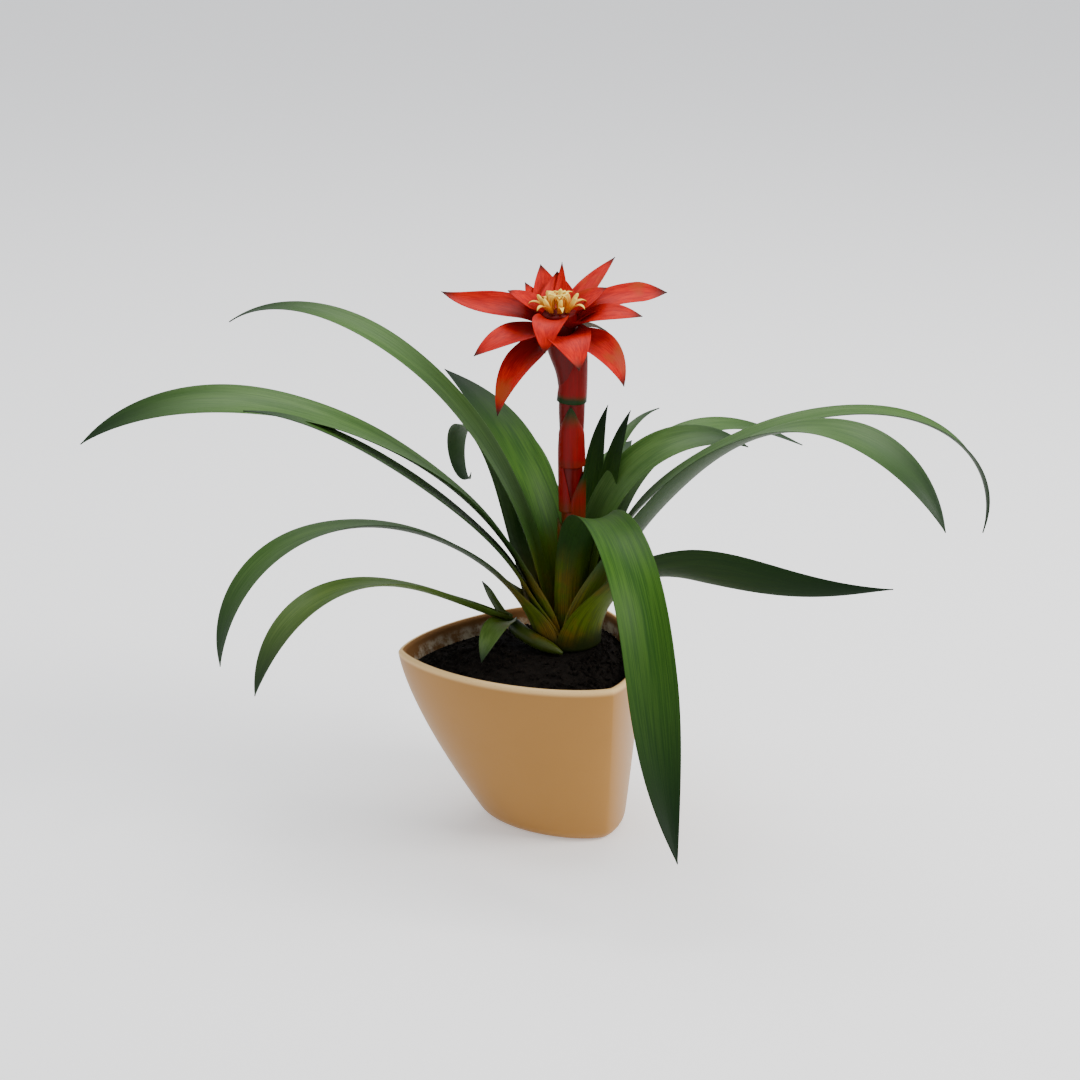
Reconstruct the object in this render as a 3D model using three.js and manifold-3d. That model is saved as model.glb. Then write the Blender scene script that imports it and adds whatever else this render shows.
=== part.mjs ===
// Potted bromeliad: a rosette of strap leaves and one red flower head on a
// scape, growing in a mound of soil in a three-cornered ceramic pot.
// Millimetres, +Z up. The origin is the middle of the pot's flat underside.
// The pot's rim leans out towards -X, and the flower faces -Y.

import * as THREE from 'three';
import { mergeVertices } from 'three/addons/utils/BufferGeometryUtils.js';
import Module from 'manifold-3d';

const wasm = await Module();
wasm.setup();

// Clear space kept between two pieces that touch in the real plant.
const GAP = 0.3;

// Pot
const POT_HEIGHT = 124;
const POT_WALL = 5;
const POT_FLOOR = 10;
const POT_TURN = 184;
const BASE_SIZE = 47;
const BASE_CORNER = 4.8;
const RIM_SIZE = 82;
const RIM_CORNER = 10;
const RIM_LEAN = 20;
const FOOT_ROUNDING = 8;

// Soil
const SOIL_EDGE = 111;
const SOIL_TOP = 122.6;
const SOIL_LEVELS = [25, 43, 62, 80, 97];

// Plant axis, and the height at which every leaf leaves the soil
const CROWN_X = 3;
const CROWN_Y = 14;
const LEAF_FOOT = 123;

// Scape (flower stalk) and flower head
const SCAPE_X = 5;
const SCAPE_TOP = 352;
const HEAD_X = -4;

const rad = (degrees) => degrees * Math.PI / 180;

// Smooth step from 0 to 1 while x goes from a to b.
function ease(a, b, x) {
  const u = Math.min(1, Math.max(0, (x - a) / (b - a)));
  return u * u * (3 - 2 * u);
}

// Even blend through a short list of values (a Bezier curve in one dimension).
function blend(values, s) {
  let row = values.slice();
  while (row.length > 1) {
    row = row.slice(1).map((next, i) => row[i] + (next - row[i]) * s);
  }
  return row[0];
}

// ---------------------------------------------------------------- meshes

// Closed body from rings of points that all have the same length. Each end is
// closed by a strip between the two halves of its ring, so a ring may be bent.
function loft(rings) {
  const count = rings[0].length;
  const points = rings.flat();
  const faces = [];
  for (let i = 0; i + 1 < rings.length; i += 1) {
    for (let j = 0; j < count; j += 1) {
      const a = i * count + j;
      const b = i * count + (j + 1) % count;
      faces.push([a, b, b + count], [a, b + count, a + count]);
    }
  }
  const end = (rings.length - 1) * count;
  for (let j = 0; j + 1 < count / 2; j += 1) {
    const k = count - 1 - j;
    faces.push([j, k, k - 1], [j, k - 1, j + 1]);
    faces.push([end + j, end + k - 1, end + k], [end + j, end + j + 1, end + k - 1]);
  }
  return solid(points, faces);
}

// Manifold body from points and triangles, turned to face outward.
function solid(points, faces) {
  let volume = 0;
  for (const [a, b, c] of faces) {
    const cross = new THREE.Vector3().crossVectors(points[b], points[c]);
    volume += points[a].dot(cross);
  }
  const order = volume < 0 ? faces.map(([a, b, c]) => [a, c, b]) : faces;
  return new wasm.Manifold(new wasm.Mesh({
    numProp: 3,
    vertProperties: new Float32Array(points.flatMap((p) => [p.x, p.y, p.z])),
    triVerts: new Uint32Array(order.flat()),
  }));
}

// Triangles of a body, with points closer than a thousandth joined.
function geometryOf(body) {
  const mesh = body.getMesh();
  const flat = [];
  for (let i = 0; i < mesh.numVert; i += 1) {
    for (let k = 0; k < 3; k += 1) {
      flat.push(mesh.vertProperties[i * mesh.numProp + k]);
    }
  }
  const geometry = new THREE.BufferGeometry();
  geometry.setAttribute('position', new THREE.Float32BufferAttribute(flat, 3));
  geometry.setIndex(Array.from(mesh.triVerts));
  return mergeVertices(geometry, 1e-3);
}

// The largest separate body of a cut piece, without the slivers that hang on
// to it by a single edge.
function largest(body) {
  let parts = [body];
  for (let round = 0; round < 4 && (round < 2 || parts.length > 1); round += 1) {
    const geometry = geometryOf(parts[0]);
    parts = new wasm.Manifold(new wasm.Mesh({
      numProp: 3,
      vertProperties: geometry.attributes.position.array,
      triVerts: new Uint32Array(geometry.index.array),
    })).decompose();
    parts.sort((a, b) => b.volume() - a.volume());
  }
  return parts[0];
}

function boxesMeet(a, b) {
  const p = a.boundingBox();
  const q = b.boundingBox();
  return [0, 1, 2].every((k) => p.min[k] <= q.max[k] && q.min[k] <= p.max[k]);
}

const group = new THREE.Group();
group.name = 'potted_bromeliad';

function add(name, body, material) {
  const geometry = geometryOf(body);
  geometry.computeVertexNormals();
  const node = new THREE.Mesh(geometry, new THREE.MeshStandardMaterial(material));
  node.name = name;
  group.add(node);
}

// ---------------------------------------------------------------- pot

// One level outline of the pot, a rounded three-cornered curve. A curve with
// support h(a) = size + corner cos 3a has its points at h n + h' t, so taking
// an amount off the size moves the whole curve inward by exactly that much.
function potOutline(z, inset, count) {
  const flare = 1 - (1 - z / POT_HEIGHT) ** 1.4;
  const size = BASE_SIZE + (RIM_SIZE - BASE_SIZE) * flare - inset;
  const corner = BASE_CORNER + (RIM_CORNER - BASE_CORNER) * flare;
  const ring = [];
  for (let i = 0; i < count; i += 1) {
    const a = 2 * Math.PI * i / count;
    const reach = size + corner * Math.cos(3 * a);
    const slide = -3 * corner * Math.sin(3 * a);
    const turn = a + rad(POT_TURN);
    const x = reach * Math.cos(turn) - slide * Math.sin(turn) - RIM_LEAN * flare;
    const y = reach * Math.sin(turn) + slide * Math.cos(turn);
    ring.push(new THREE.Vector3(x, y, z));
  }
  return ring;
}

function buildPot() {
  const count = 42;
  const lip = POT_WALL / 2;
  const outside = [];
  for (const turn of [0, 30, 60]) {
    const inset = FOOT_ROUNDING * 0.75 * (1 - Math.sin(rad(turn)));
    const z = FOOT_ROUNDING * (1 - Math.cos(rad(turn)));
    outside.push(potOutline(z, inset, count));
  }
  for (const share of [0.09, 0.2, 0.34, 0.5, 0.66, 0.83]) {
    outside.push(potOutline(POT_HEIGHT * share, 0, count));
  }
  for (const turn of [0, 30, 60, 90]) {
    const z = POT_HEIGHT - lip + lip * Math.sin(rad(turn));
    outside.push(potOutline(z, lip * (1 - Math.cos(rad(turn))), count));
  }
  const inside = [potOutline(POT_FLOOR, POT_WALL, count)];
  for (const z of [...SOIL_LEVELS, SOIL_EDGE]) {
    inside.push(potOutline(z, POT_WALL, count));
  }
  for (const turn of [0, 30, 60, 90]) {
    const z = POT_HEIGHT - lip + lip * Math.sin(rad(turn));
    inside.push(potOutline(z, POT_WALL - lip * (1 - Math.cos(rad(turn))), count));
  }
  inside.push(potOutline(POT_HEIGHT, lip, count).map((p) => p.setZ(POT_HEIGHT + 4)));
  return loft(outside).subtract(loft(inside));
}

// ---------------------------------------------------------------- soil

// The soil fills the hollow of the pot and rises to a low mound that is level
// around the foot of the plant.
function buildSoil() {
  const count = 42;
  const rings = [];
  for (const z of [POT_FLOOR + GAP, ...SOIL_LEVELS, SOIL_EDGE]) {
    rings.push(potOutline(z, POT_WALL + GAP, count));
  }
  const edge = rings[rings.length - 1];
  for (const share of [0.93, 0.84, 0.74, 0.64, 0.5]) {
    const rise = (SOIL_TOP - SOIL_EDGE) * ease(1, 0.5, share);
    rings.push(edge.map((p) => new THREE.Vector3(
      CROWN_X + (p.x - CROWN_X) * share,
      CROWN_Y + (p.y - CROWN_Y) * share,
      SOIL_EDGE + rise,
    )));
  }
  return loft(rings);
}

// ---------------------------------------------------------------- leaves

// A leaf is drawn by a pen that starts on the crown and moves at an even
// speed. Its heading (compass angle from +X) and its pitch (angle above the
// level) are blends of the listed values. The leaf is a strip about that
// line, bent across into an arc: wide and wrapped round the crown at its
// foot, narrowing to a shallow channel, and pointed at the tip. The foot is
// bent as if it stood this far out from its ring of attachment (stand).
function blade(leaf, grow) {
  const stations = leaf.stations ?? 16;
  const across = leaf.across ?? 4;
  const thick = (leaf.thick ?? 1.3) + 2 * grow;
  const start = rad(leaf.heading[0]);
  const pen = new THREE.Vector3(
    leaf.x + leaf.radius * Math.cos(start),
    leaf.y + leaf.radius * Math.sin(start),
    leaf.z,
  );
  const step = leaf.length / stations;
  const steps = 4;
  const rings = [];
  for (let i = 0; i <= stations; i += 1) {
    const s = i / stations;
    const heading = rad(blend(leaf.heading, s));
    const pitch = rad(blend(leaf.pitch, s));
    const roll = rad(blend(leaf.roll ?? [0], s));
    const level = new THREE.Vector3(-Math.sin(heading), Math.cos(heading), 0);
    const upper = new THREE.Vector3(
      -Math.sin(pitch) * Math.cos(heading),
      -Math.sin(pitch) * Math.sin(heading),
      Math.cos(pitch),
    );
    const side = level.clone().multiplyScalar(Math.cos(roll))
      .addScaledVector(upper, Math.sin(roll));
    const face = upper.clone().multiplyScalar(Math.cos(roll))
      .addScaledVector(level, -Math.sin(roll));
    const body = leaf.foot + (leaf.width - leaf.foot) * ease(0, leaf.neck ?? 0.2, s);
    const taper = Math.max(0, (s - leaf.taper) / (1 - leaf.taper));
    const width = Math.max(1.2, body * (1 - taper ** leaf.point));
    const wrapped = Math.min(rad(leaf.wrap), leaf.foot / (2 * (leaf.radius + (leaf.stand ?? 2))));
    const channel = rad(leaf.channel);
    const half = wrapped + (channel - wrapped) * ease(0, leaf.neck ?? 0.2, s);
    const radius = width / (2 * half);
    const reach = half + grow / radius;
    const along = new THREE.Vector3().crossVectors(side, face);
    const past = (i === stations ? grow : 0) - (i === 0 ? grow : 0);
    const ring = [];
    for (const top of [1, -1]) {
      for (let j = 0; j <= across; j += 1) {
        const bend = reach * top * (2 * j / across - 1);
        const out = (radius - thick / 2 * top) * Math.sin(bend);
        const up = radius - (radius - thick / 2 * top) * Math.cos(bend);
        const point = pen.clone().addScaledVector(along, past);
        ring.push(point.addScaledVector(side, out).addScaledVector(face, up));
      }
    }
    rings.push(ring);
    for (let k = 0; k < steps; k += 1) {
      const t = Math.min(1, (i + (k + 0.5) / steps) / stations);
      const h = rad(blend(leaf.heading, t));
      const p = rad(blend(leaf.pitch, t));
      pen.add(new THREE.Vector3(
        Math.cos(p) * Math.cos(h),
        Math.cos(p) * Math.sin(h),
        Math.sin(p),
      ).multiplyScalar(step / steps));
    }
  }
  return loft(rings);
}

// Leaves from the innermost outward. The wrapped feet lie one over another,
// so every leaf is cut clear of those inside it.
const LEAF = { width: 29, foot: 42, wrap: 80, channel: 24, neck: 0.22, taper: 0.62, point: 2 };
const leaves = [
  { name: 'leaf_young_a', radius: 9, heading: [65, 55], pitch: [70, 65, 85, 90, 55],
    length: 160, foot: 26, width: 17 },
  { name: 'leaf_young_b', radius: 11, heading: [30, 50], pitch: [75, 75, 85, 85, 50],
    length: 160, foot: 26, width: 17 },
  { name: 'leaf_front', radius: 11, heading: [-75, -70], pitch: [90, 90, 5, -125, -70, -50],
    length: 385, foot: 26, neck: 0.5, width: 35, taper: 0.7 },
  { name: 'leaf_upright', radius: 11, heading: [120, 135], pitch: [80, 90, 45, 25, 20],
    length: 220, foot: 34, width: 34 },
  { name: 'leaf_broad', radius: 12, heading: [25, -5], pitch: [90, 85, 75, 20, -25],
    length: 210, roll: [0, 25, 30], width: 32 },
  { name: 'leaf_high', radius: 13, heading: [170, 155], pitch: [85, 75, 40, 35, -35],
    length: 365, foot: 36, neck: 0.16, roll: [0, -15, -15], width: 22 },
  { name: 'leaf_thin', radius: 14, heading: [60, 45], pitch: [65, 85, 90, 45, 0], length: 180,
    foot: 24, width: 12 },
  { name: 'leaf_pale', radius: 16, heading: [45, 15], pitch: [70, 90, 55, -30, -25],
    length: 255, roll: [0, 5, 10], width: 26 },
  { name: 'leaf_hooked', radius: 16, heading: [135, 110], pitch: [50, 75, 90, 35, -245],
    length: 245, width: 20 },
  { name: 'leaf_long_left', radius: 17, heading: [185, 180], pitch: [85, 40, 25, 15, -40],
    length: 395, foot: 46, neck: 0.16, roll: [0, 30, -20, -45], width: 34 },
  { name: 'leaf_far_right', radius: 18, heading: [-15, 10],
    pitch: [90, 80, -20, 60, -25, -105], length: 410, foot: 44, width: 23, taper: 0.7 },
  { name: 'leaf_wide_right', radius: 19, heading: [-35, -45], pitch: [90, 25, 70, 5, -60],
    length: 385, foot: 48, roll: [0, -15, 0, 25], width: 29, taper: 0.75 },
  { name: 'leaf_under_left', radius: 20, heading: [190, 190], pitch: [90, 35, 35, 45, 5],
    length: 275, foot: 52, neck: 0.16, width: 24 },
  { name: 'leaf_back_left', radius: 20, heading: [108, 112], pitch: [80, 70, 45, 15],
    length: 165, foot: 50, width: 26 },
  { name: 'leaf_back_right', radius: 20, heading: [72, 66], pitch: [80, 65, 30, 0],
    length: 165, foot: 50, width: 26 },
  { name: 'leaf_low_left', radius: 22, heading: [180, 210], pitch: [80, 10, 40, -45, -90],
    length: 305, foot: 60, neck: 0.16, roll: [0, 35, 0, -30], width: 29 },
  { name: 'leaf_twisted', radius: 22, heading: [-35, -5], pitch: [90, 40, -45, 5, 5],
    length: 240, foot: 60, roll: [0, 0, -90, -110, -60], width: 34, taper: 0.45, point: 1.2 },
];

// A side shoot: a short stem lying on the soil round the foot of the crown,
// with three leaves of its own at its end.
const SHOOT = { x: -36, y: 18, z: 135 };
const SHOOT_STEM = [
  [-1, -15, 124.6, 1.2], [-8, -12, 127, 3.6], [-16, -6, 128.5, 4.8], [-23, 2, 129.5, 5],
  [-29, 9, 131, 5.2], [-33.5, 15, 133, 5],
];
const shootLeaves = [
  { name: 'shoot_leaf_long', radius: 1, heading: [205, 220], pitch: [25, 35, 30, -40, -75],
    length: 230, foot: 14, width: 26, channel: 30, roll: [0, 20, 0, -25] },
  { name: 'shoot_leaf_spike', radius: 2.6, heading: [150, 160], pitch: [40, 60, 60],
    length: 32, foot: 12, width: 9, stations: 6 },
  { name: 'shoot_leaf_curled', radius: 2.6, heading: [250, 250], pitch: [30, -10, -50],
    length: 58, foot: 14, width: 18, taper: 0.4, stations: 8 },
];

function buildShootStem(grow) {
  const rings = SHOOT_STEM.map(([x, y, z, r], k) => {
    const [ax, ay] = SHOOT_STEM[Math.max(0, k - 1)];
    const [bx, by] = SHOOT_STEM[Math.min(SHOOT_STEM.length - 1, k + 1)];
    const out = new THREE.Vector3(by - ay, ax - bx, 0).normalize();
    const ring = [];
    for (let i = 0; i < 12; i += 1) {
      const a = 2 * Math.PI * i / 12;
      const point = new THREE.Vector3(x, y, z + (r + grow) * Math.sin(a));
      ring.push(point.addScaledVector(out, (r + grow) * Math.cos(a)));
    }
    return ring;
  });
  return loft(rings);
}

// ---------------------------------------------------------------- scape

function buildScape(grow) {
  const rings = [];
  const profile = [
    [LEAF_FOOT, 5.5], [160, 6], [200, 6.5], [240, 7], [270, 8], [285, 8.6], [300, 8.8],
    [314, 9.4], [328, 11], [342, 12], [SCAPE_TOP, 12],
  ];
  for (const [z, r] of profile) {
    const lean = (HEAD_X - SCAPE_X) * ease(300, SCAPE_TOP, z);
    const ring = [];
    for (let i = 0; i < 16; i += 1) {
      const a = 2 * Math.PI * i / 16;
      ring.push(new THREE.Vector3(
        SCAPE_X + lean + (r + grow) * Math.cos(a),
        CROWN_Y + (r + grow) * Math.sin(a),
        z,
      ));
    }
    rings.push(ring);
  }
  return loft(rings);
}

const keptClear = [
  buildSoil().translate(0, 0, GAP),
  buildScape(GAP),
  buildShootStem(GAP),
];

function place(name, leaf, material) {
  let body = blade(leaf, 0);
  for (const other of keptClear) {
    if (boxesMeet(body, other)) {
      body = body.subtract(other);
    }
  }
  add(name, largest(body), material);
  keptClear.push(blade(leaf, GAP));
}

// Bracts clasping the scape, each starting at a joint a little above the last.
const SCAPE_BRACT = {
  length: 62, foot: 40, wrap: 150, stand: 0.3, width: 24, channel: 90, neck: 0.9,
  taper: 0.5, point: 1.8, thick: 1, stations: 8, radius: 7.4, pitch: [86, 90, 88], x: 5,
};
const scapeBracts = [
  { name: 'scape_bract_1', z: 150, heading: [200, 200] },
  { name: 'scape_bract_2', z: 184, heading: [340, 340], radius: 7.8, foot: 42 },
  { name: 'scape_bract_3', z: 216, heading: [120, 120], radius: 8, foot: 43 },
  { name: 'scape_bract_4', z: 248, heading: [265, 265], radius: 8.6, foot: 46, length: 43 },
  { name: 'scape_bract_5', z: 292, heading: [-30, -30], radius: 9.4, foot: 50, length: 42 },
];

// Red bracts of the flower head, from the top of the scape outward. The inner
// ones stand round the florets and the outer ones spread and hang.
const BRACT = {
  foot: 22, wrap: 70, width: 22, channel: 28, neck: 0.3, taper: 0.3, point: 1.6, thick: 1,
  stations: 8, radius: 11,
};
const bracts = [
  { name: 'bract_upper_middle', z: 352, heading: [90, 95], pitch: [30, 50, 70], length: 28,
    width: 24 },
  { name: 'bract_inner_left', z: 351, heading: [165, 170], pitch: [35, 35, 25], length: 27,
    roll: [0, -15], width: 26 },
  { name: 'bract_inner_right', z: 351, heading: [20, 15], pitch: [40, 40, 25], length: 27,
    roll: [0, 15], width: 26 },
  { name: 'bract_front_small', z: 349, heading: [-105, -100], pitch: [30, -30, -85],
    length: 36, width: 24 },
  { name: 'bract_upper_left', z: 349, heading: [105, 110], pitch: [25, 45, 55], length: 40,
    width: 24 },
  { name: 'bract_left_small', z: 347, heading: [130, 130], pitch: [30, 40, 50], length: 30,
    width: 20 },
  { name: 'bract_upper_right', z: 348, heading: [50, 40], pitch: [45, 30, 35], length: 54,
    roll: [0, 20], width: 17 },
  { name: 'bract_curled', z: 346, heading: [85, 85], pitch: [50, 60, 75], length: 38,
    width: 10 },
  { name: 'bract_right_long', z: 344, heading: [20, 10], pitch: [50, -5, 0], length: 68,
    roll: [0, 40, 30], width: 19, taper: 0.72 },
  { name: 'bract_left_long', z: 343, heading: [165, 155], pitch: [40, -20, 20], length: 74,
    roll: [0, -50, -40], width: 24 },
  { name: 'bract_right_low', z: 343, heading: [-20, -10], pitch: [40, 5, -5], length: 48,
    roll: [0, 25], foot: 26, width: 29 },
  { name: 'bract_left_low', z: 338, heading: [205, 190], pitch: [15, -15, -35], length: 50,
    roll: [0, -25], foot: 26, width: 32 },
  { name: 'bract_front_broad', z: 338, heading: [-80, -60], pitch: [30, -20, -70], length: 42,
    foot: 32, width: 34 },
  { name: 'bract_left_hanging', z: 332, heading: [225, 220], pitch: [-5, -45, -75],
    length: 62, foot: 26, width: 30 },
  { name: 'bract_right_hanging', z: 334, heading: [-35, -15], pitch: [20, -45, -75],
    length: 51, roll: [0, 20], foot: 28, width: 34 },
  { name: 'bract_withered', z: 336, heading: [35, 20], pitch: [40, -30, -50], length: 37,
    foot: 10, width: 12 },
];

// Florets: small spindles standing in the cup of bracts.
function floret(x, y, lean, length, fat) {
  const base = new THREE.Vector3(x, y, SCAPE_TOP + GAP + 1);
  const axis = new THREE.Vector3(x - HEAD_X, y - CROWN_Y, 0);
  axis.setLength(Math.sin(rad(lean))).setZ(Math.cos(rad(lean)));
  const side = new THREE.Vector3(0, 1, 0).cross(axis).normalize();
  const front = axis.clone().cross(side);
  const rings = [[0, 0.6], [0.3, 0.95], [0.6, 1], [0.85, 0.75], [1, 0.25]].map(([s, r]) => {
    const ring = [];
    for (let i = 0; i < 8; i += 1) {
      const a = 2 * Math.PI * i / 8;
      ring.push(base.clone().addScaledVector(axis, length * s)
        .addScaledVector(side, fat * r * Math.cos(a))
        .addScaledVector(front, fat * r * Math.sin(a)));
    }
    return ring;
  });
  return loft(rings);
}

const GREEN = { color: 0x3f6b33, roughness: 0.4, metalness: 0 };
const RED = { color: 0xb8201a, roughness: 0.45, metalness: 0 };
const DARK_RED = { color: 0x6b1512, roughness: 0.5, metalness: 0 };
const YELLOW = { color: 0xe8a838, roughness: 0.5, metalness: 0 };

add('pot', buildPot(), { color: 0xc79a62, roughness: 0.35, metalness: 0 });
add('soil', buildSoil(), { color: 0x17120f, roughness: 1, metalness: 0 });
add('scape', buildScape(0), DARK_RED);
for (const leaf of leaves) {
  place(leaf.name, { ...LEAF, x: CROWN_X, y: CROWN_Y, z: LEAF_FOOT, ...leaf }, GREEN);
}
add('shoot_stem', buildShootStem(0), GREEN);
for (const leaf of shootLeaves) {
  place(leaf.name, { ...LEAF, ...SHOOT, ...leaf }, GREEN);
}
for (const bract of scapeBracts) {
  place(bract.name, { ...SCAPE_BRACT, y: CROWN_Y, ...bract }, DARK_RED);
}
for (const bract of bracts) {
  place(bract.name, { ...BRACT, x: HEAD_X, y: CROWN_Y, ...bract }, RED);
}
add('floret_middle', floret(HEAD_X + 0.5, CROWN_Y, 4, 17, 3), YELLOW);
for (let i = 0; i < 7; i += 1) {
  const a = rad(20 + 360 * i / 7);
  const x = HEAD_X + 6.5 * Math.cos(a);
  const y = CROWN_Y + 6.5 * Math.sin(a);
  add('floret_' + (i + 1), floret(x, y, 34, 16, 2.5), YELLOW);
}

export default group;
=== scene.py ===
"""Potted bromeliad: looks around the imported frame. Metres, +Z up, origin at the
middle of the pot's flat underside, flower facing -Y."""
import math

import bpy
import mathutils
import numpy as np
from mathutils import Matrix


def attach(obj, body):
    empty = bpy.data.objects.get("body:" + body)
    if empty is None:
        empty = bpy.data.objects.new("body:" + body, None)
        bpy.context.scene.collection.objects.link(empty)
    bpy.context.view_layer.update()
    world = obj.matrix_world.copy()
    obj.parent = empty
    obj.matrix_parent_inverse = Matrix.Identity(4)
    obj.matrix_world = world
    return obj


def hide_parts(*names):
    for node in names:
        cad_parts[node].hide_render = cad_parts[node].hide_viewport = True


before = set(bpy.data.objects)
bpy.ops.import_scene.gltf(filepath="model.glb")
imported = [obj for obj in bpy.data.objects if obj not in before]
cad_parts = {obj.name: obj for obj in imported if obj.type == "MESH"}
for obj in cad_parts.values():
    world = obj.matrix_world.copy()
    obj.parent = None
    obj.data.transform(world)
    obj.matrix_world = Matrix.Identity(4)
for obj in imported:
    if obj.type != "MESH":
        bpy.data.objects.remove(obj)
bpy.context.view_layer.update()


# ------------------------------------------------------------ stage and light
# A wide pale floor that runs out of sight behind the plant, lit by a softbox
# high on the right and a broad one above and behind.

MM = 0.001


def quad_sheet(name, half, z):
    """A level square of side 2 half at height z."""
    mesh = bpy.data.meshes.new(name)
    corners = [(-half, -half, z), (half, -half, z), (half, half, z), (-half, half, z)]
    mesh.from_pydata(corners, [], [(0, 1, 2, 3)])
    sheet = bpy.data.objects.new(name, mesh)
    bpy.context.collection.objects.link(sheet)
    return sheet


floor = quad_sheet("floor", 14.0, 0.0)
floor_finish = bpy.data.materials.new("pale_floor")
floor_finish.use_nodes = True
floor_shader = floor_finish.node_tree.nodes["Principled BSDF"]
floor_shader.inputs["Base Color"].default_value = (0.92, 0.92, 0.92, 1)
floor_shader.inputs["Roughness"].default_value = 0.9
floor_shader.inputs["Emission Color"].default_value = (1, 1, 1, 1)
floor_shader.inputs["Emission Strength"].default_value = 0.35
floor.data.materials.append(floor_finish)

room = bpy.data.worlds.new("room")
room.use_nodes = True
room.node_tree.nodes["Background"].inputs["Color"].default_value = (0.93, 0.95, 1.0, 1)
room.node_tree.nodes["Background"].inputs["Strength"].default_value = 0.8
bpy.context.scene.world = room


def look(thing, place, target):
    """Puts a lamp or camera at place with its -Z axis through target."""
    back = np.array(place, float) - np.array(target, float)
    back /= np.linalg.norm(back)
    side = np.cross((0.0, 0.0, 1.0), back)
    side /= np.linalg.norm(side)
    turn = np.column_stack([side, np.cross(back, side), back])
    thing.matrix_world = mathutils.Matrix.Translation(place) @ mathutils.Matrix(turn).to_4x4()


def softbox(name, place, target, width, power, colour):
    lamp = bpy.data.lights.new(name, "AREA")
    lamp.size = width
    lamp.energy = power
    lamp.color = colour
    holder = bpy.data.objects.new(name, lamp)
    bpy.context.collection.objects.link(holder)
    look(holder, place, target)
    return holder


softbox("key_light", (1.6, -0.6, 1.5), (0, 0, 0.2), 0.9, 40, (1.0, 0.97, 0.93))
softbox("top_light", (0.0, 0.6, 2.2), (0, 0, 0.2), 1.6, 40, (1.0, 1.0, 1.0))

lens = bpy.data.cameras.new("camera")
lens.lens = 85
lens.sensor_width = 36
camera = bpy.data.objects.new("camera", lens)
bpy.context.collection.objects.link(camera)
tilt = math.radians(19.5)
aim = np.array([-0.016, 0.0, 0.200])
look(camera, aim + 1.7 * np.array([0, -math.cos(tilt), math.sin(tilt)]), aim)
bpy.context.scene.camera = camera


# ------------------------------------------------------------------------ pot
# A slip-cast ceramic pot with three soft corners that leans out towards one of
# them, glazed tan outside and over the rounded lip, and brown within with pale
# patches near the soil. The brown band just inside the lip is painted shade.

class Value:
    """A shader socket. Arithmetic on it adds Math nodes to its tree."""

    def __init__(self, socket):
        self.socket = socket

    def math(self, operation, *values):
        node = self.socket.id_data.nodes.new("ShaderNodeMath")
        node.operation = operation
        for slot, value in zip(node.inputs, values):
            if isinstance(value, Value):
                self.socket.id_data.links.new(value.socket, slot)
            else:
                slot.default_value = value
        return Value(node.outputs[0])

    def __add__(self, other):
        return self.math("ADD", self, other)

    def __radd__(self, other):
        return self.math("ADD", other, self)

    def __sub__(self, other):
        return self.math("SUBTRACT", self, other)

    def __rsub__(self, other):
        return self.math("SUBTRACT", other, self)

    def __mul__(self, other):
        return self.math("MULTIPLY", self, other)

    def __rmul__(self, other):
        return self.math("MULTIPLY", other, self)

    def __gt__(self, other):
        return self.math("GREATER_THAN", self, other)

    def over(self, other):
        return self.math("MAXIMUM", self, other)

    def wrap(self):
        return self.math("FRACT", self)


class Finish:
    """A node material: a Principled shader and whatever feeds it."""

    def __init__(self, name, **fixed):
        self.material = bpy.data.materials.new(name)
        self.material.use_nodes = True
        self.tree = self.material.node_tree
        self.shader = self.tree.nodes["Principled BSDF"]
        self.set(self.shader, fixed)

    def set(self, node, values):
        for key, value in values.items():
            slot = node.inputs[key if isinstance(key, int) else key.replace("_", " ")]
            if isinstance(value, Value):
                self.tree.links.new(value.socket, slot)
            else:
                slot.default_value = value

    def feed(self, **links):
        self.set(self.shader, links)

    def node(self, kind, settings, values, out=0):
        """Adds a node, applies its settings, then its values and links."""
        node = self.tree.nodes.new("ShaderNode" + kind)
        for key, value in settings.items():
            if key == "stops":
                ramp = node.color_ramp
                while len(ramp.elements) < len(value):
                    ramp.elements.new(1.0)
                for element, (place, colour) in zip(ramp.elements, value):
                    element.position = place
                    element.color = (*colour, 1)
            else:
                setattr(node, key, value)
        self.set(node, values)
        return Value(node.outputs[out])

    def mix(self, share, low, high):
        """Colour from low to high as share goes from 0 to 1."""
        return self.node("Mix", {"data_type": "RGBA"}, {0: share, 6: low, 7: high}, 2)

    def ease(self, value, low, high, start=0.0, end=1.0):
        """Smooth change from start to end while value goes from low to high."""
        return self.node("MapRange", {"interpolation_type": "SMOOTHSTEP"}, {
            "Value": value, "From_Min": low, "From_Max": high,
            "To_Min": start, "To_Max": end,
        })

    def place(self, coordinate="Object"):
        return self.node("TexCoord", {}, {}, coordinate)

    def part(self, vector, index):
        """One component of a vector."""
        return self.node("SeparateXYZ", {}, {"Vector": vector}, index)

    def noise(self, vector, scale, detail=3.0, roughness=0.5):
        return self.node("TexNoise", {}, {
            "Vector": vector, "Scale": scale, "Detail": detail, "Roughness": roughness,
        })

    def bump(self, height, strength, distance):
        self.feed(Normal=self.node("Bump", {}, {
            "Strength": strength, "Distance": distance, "Height": height,
        }))


def rgb(red, green, blue):
    return (red, green, blue, 1)


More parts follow.
